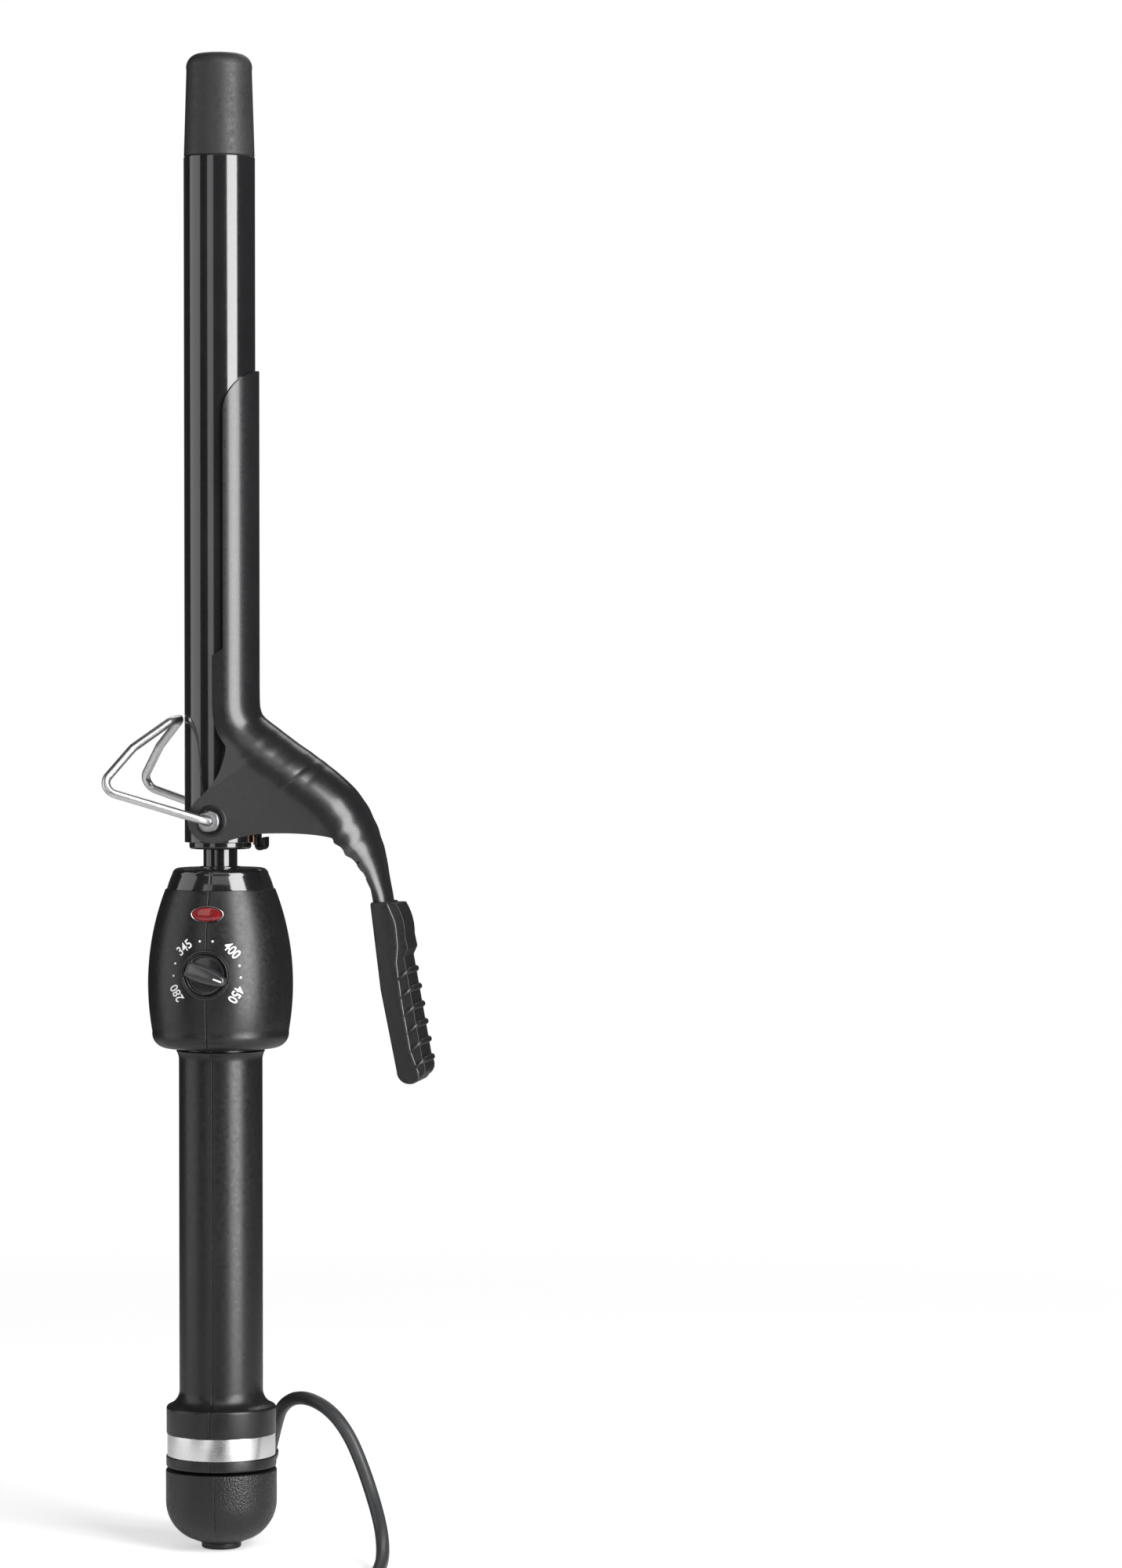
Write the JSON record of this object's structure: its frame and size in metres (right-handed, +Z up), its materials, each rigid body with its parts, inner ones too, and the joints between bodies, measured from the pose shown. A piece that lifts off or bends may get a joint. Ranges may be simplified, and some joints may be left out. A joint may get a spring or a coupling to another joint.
{
  "type": "curling iron",
  "caption": "Corded curling iron: slim glossy black barrel, spring clamp with thumb lever, wire rest, heat dial, round handle and swivelling cord outlet with a coiled cord.",
  "frame": {"origin": "on the barrel's axis, in the flat face of the button under the end cap", "axes": "+Z up the barrel towards its tip, -Y towards the heat dial, +X towards the thumb lever"},
  "size_m": [0.0856, 0.2043, 0.4004],
  "materials": {
    "black_gloss_enamel": "gloss",
    "black_gloss_plastic": "gloss",
    "tip_black": "fine matte texture",
    "soft_touch_black": "soft-touch satin",
    "cap_black": "pebbled satin",
    "steel": "bright satin",
    "dark_steel": "satin",
    "spring_bronze": "satin",
    "band_silver": "polished",
    "lens_red": "gloss",
    "aluminium": "as extruded",
    "core_metal": "as drawn",
    "ceramic": "matt ceramic",
    "board": "matt",
    "wire_insulation": "matt",
    "cord_rubber": "satin"
  },
  "bodies": {
    "handle": {"barrel": "black_gloss_enamel", "cool_tip": "tip_black", "barrel_base_plug": "black_gloss_enamel", "core_tube": "core_metal", "heater_block_front": "aluminium", "heater_block_back": "aluminium", "ptc_heater": "ceramic", "thermistor": "core_metal", "thermal_fuse": "core_metal", "heater_leads": "wire_insulation", "pivot_boss_front": "steel", "pivot_boss_back": "steel", "spring_bracket": "dark_steel", "leaf_spring": "spring_bronze", "spring_rivet": "steel", "handle_half_left": "soft_touch_black", "handle_half_right": "soft_touch_black", "handle_screws": "steel", "nose_half_left": "black_gloss_plastic", "nose_half_right": "black_gloss_plastic", "badge_band": "band_silver", "indicator_lens": "lens_red", "lens_bezel": "band_silver", "indicator_led": "lens_red", "potentiometer": "board", "control_board": "board", "triac": "board", "filter_capacitor": "board", "mains_leads": "wire_insulation", "contact_brushes": "spring_bronze", "brush_holder": "board"},
    "clamp": {"clamp_lever": "black_gloss_enamel", "thumb_grip": "tip_black", "pivot_bush_front": "cap_black", "pivot_bush_back": "cap_black"},
    "stand": {"stand_wire": "steel"},
    "dial": {"dial_knob": "tip_black", "dial_shaft": "aluminium"},
    "swivel": {"swivel_cap_left": "cap_black", "swivel_cap_right": "cap_black", "slip_ring_hub": "board", "slip_rings": "spring_bronze", "end_button": "cap_black", "cord_relief": "cord_rubber", "cord_lead": "cord_rubber", "cord_coil": "cord_rubber", "cord_tail": "cord_rubber", "cord_tie": "cord_rubber", "plug_body": "cord_rubber", "plug_blades": "spring_bronze"}
  },
  "joints": [
    {"name": "clamp_hinge", "type": "hinge", "parent": "handle", "child": "clamp", "pos_m": [0, 0, 0.1956], "axis": [0, 1, 0], "range_deg": [0, 27], "stiffness_Nm_per_rad": 0.25, "springref_deg": -20.05, "deforming": ["leaf_spring"]},
    {"name": "stand_hinge", "type": "hinge", "parent": "handle", "child": "stand", "pos_m": [0, 0, 0.1956], "axis": [0, -1, 0], "range_deg": [0, 112]},
    {"name": "dial_turn", "type": "hinge", "parent": "handle", "child": "dial", "pos_m": [0, -0.0175, 0.155], "axis": [0, 1, 0], "range_deg": [-231, 13]},
    {"name": "cord_swivel", "type": "hinge", "parent": "handle", "child": "swivel", "pos_m": [0, 0, 0.021], "axis": [0, 0, 1], "continuous": true}
  ]
}
